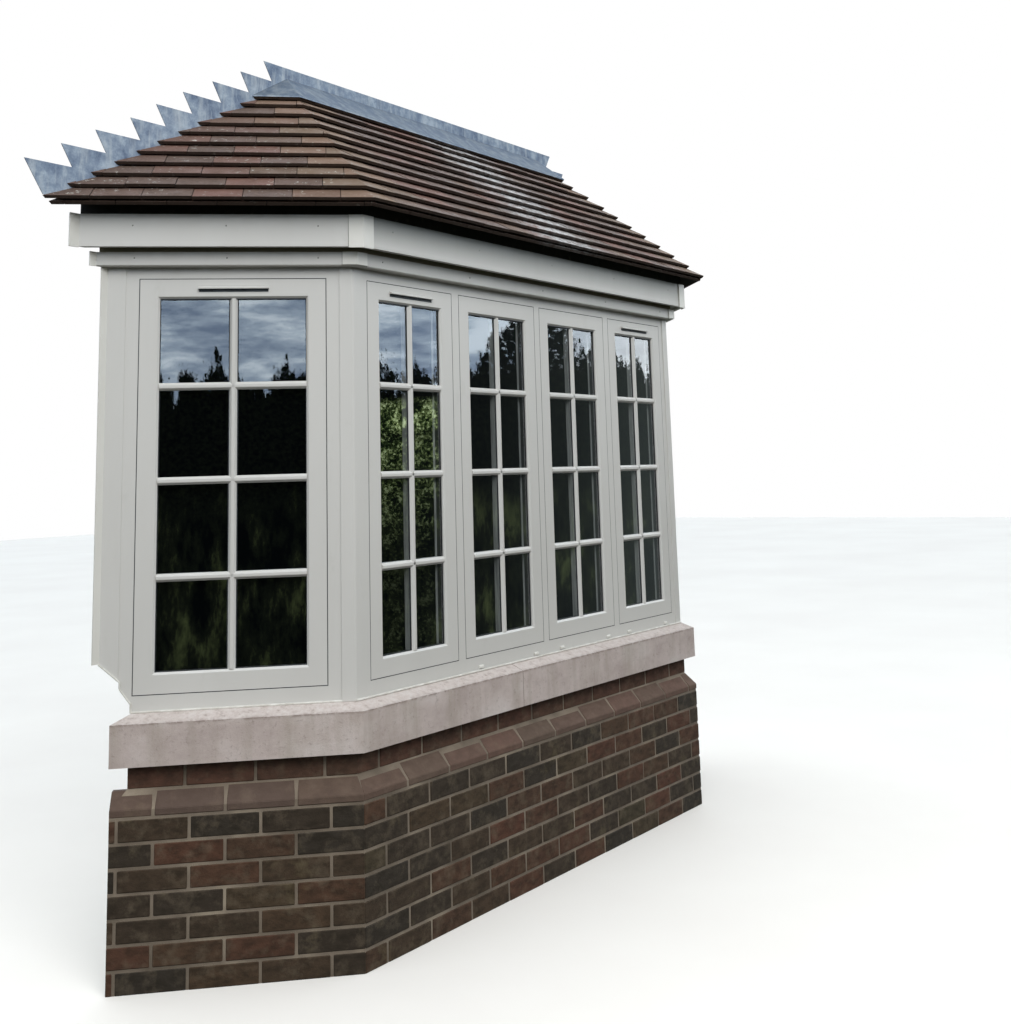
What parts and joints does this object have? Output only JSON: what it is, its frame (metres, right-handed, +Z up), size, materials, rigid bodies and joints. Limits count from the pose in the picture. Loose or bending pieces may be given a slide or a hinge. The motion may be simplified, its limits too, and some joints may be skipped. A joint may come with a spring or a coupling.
{
  "type": "bay window",
  "caption": "Canted bay window with flush casement sashes on a brick dwarf wall with a stone sill, under a hipped plain-tiled lean-to roof with stepped lead flashing.",
  "frame": {"origin": "middle of the bounding box at ground level", "axes": "+Z up, -Y outward from the house wall, +X to the right seen from outside"},
  "size_m": [4.1108, 0.776, 3.2329],
  "materials": {
    "brick": "rough",
    "stone": "rough",
    "frame_finish": "satin",
    "glass": "clear",
    "clay_tile": "rough",
    "lead": "dull",
    "timber": "sawn",
    "plasterboard": "matte",
    "dark_plastic": "matte",
    "board_paint": "painted"
  },
  "bodies": {
    "root": {"board_corner_caps": "frame_finish", "ceiling_board": "plasterboard", "ceiling_joists": "timber", "corner_posts": "frame_finish", "dwarf_wall_front": "brick", "dwarf_wall_left": "brick", "dwarf_wall_right": "brick", "eaves_vents": "dark_plastic", "fascia_front": "frame_finish", "fascia_left": "frame_finish", "fascia_right": "frame_finish", "frame_front": "frame_finish", "frame_left": "frame_finish", "frame_right": "frame_finish", "frieze_front": "frame_finish", "frieze_left": "frame_finish", "frieze_right": "frame_finish", "glass_front_1": "glass", "glass_front_2": "glass", "glass_front_3": "glass", "glass_front_4": "glass", "glass_left": "glass", "glass_right": "glass", "head_beam": "timber", "hip_rafters": "timber", "jamb_covers": "frame_finish", "lead_cover_flashing": "lead", "lead_step_flashing": "lead", "rafters": "timber", "roof_ledger": "timber", "roof_tiles_front": "clay_tile", "roof_tiles_left": "clay_tile", "roof_tiles_right": "clay_tile", "sash_front_1": "frame_finish", "sash_front_2": "frame_finish", "sash_front_3": "frame_finish", "sash_front_4": "frame_finish", "sash_left": "frame_finish", "sash_right": "frame_finish", "soffit": "frame_finish", "stone_sill_front": "stone", "stone_sill_left": "stone", "stone_sill_right": "stone", "trickle_vents": "frame_finish", "wall_rafters": "timber", "wall_trims": "frame_finish", "window_board": "board_paint"}
  },
  "joints": []
}
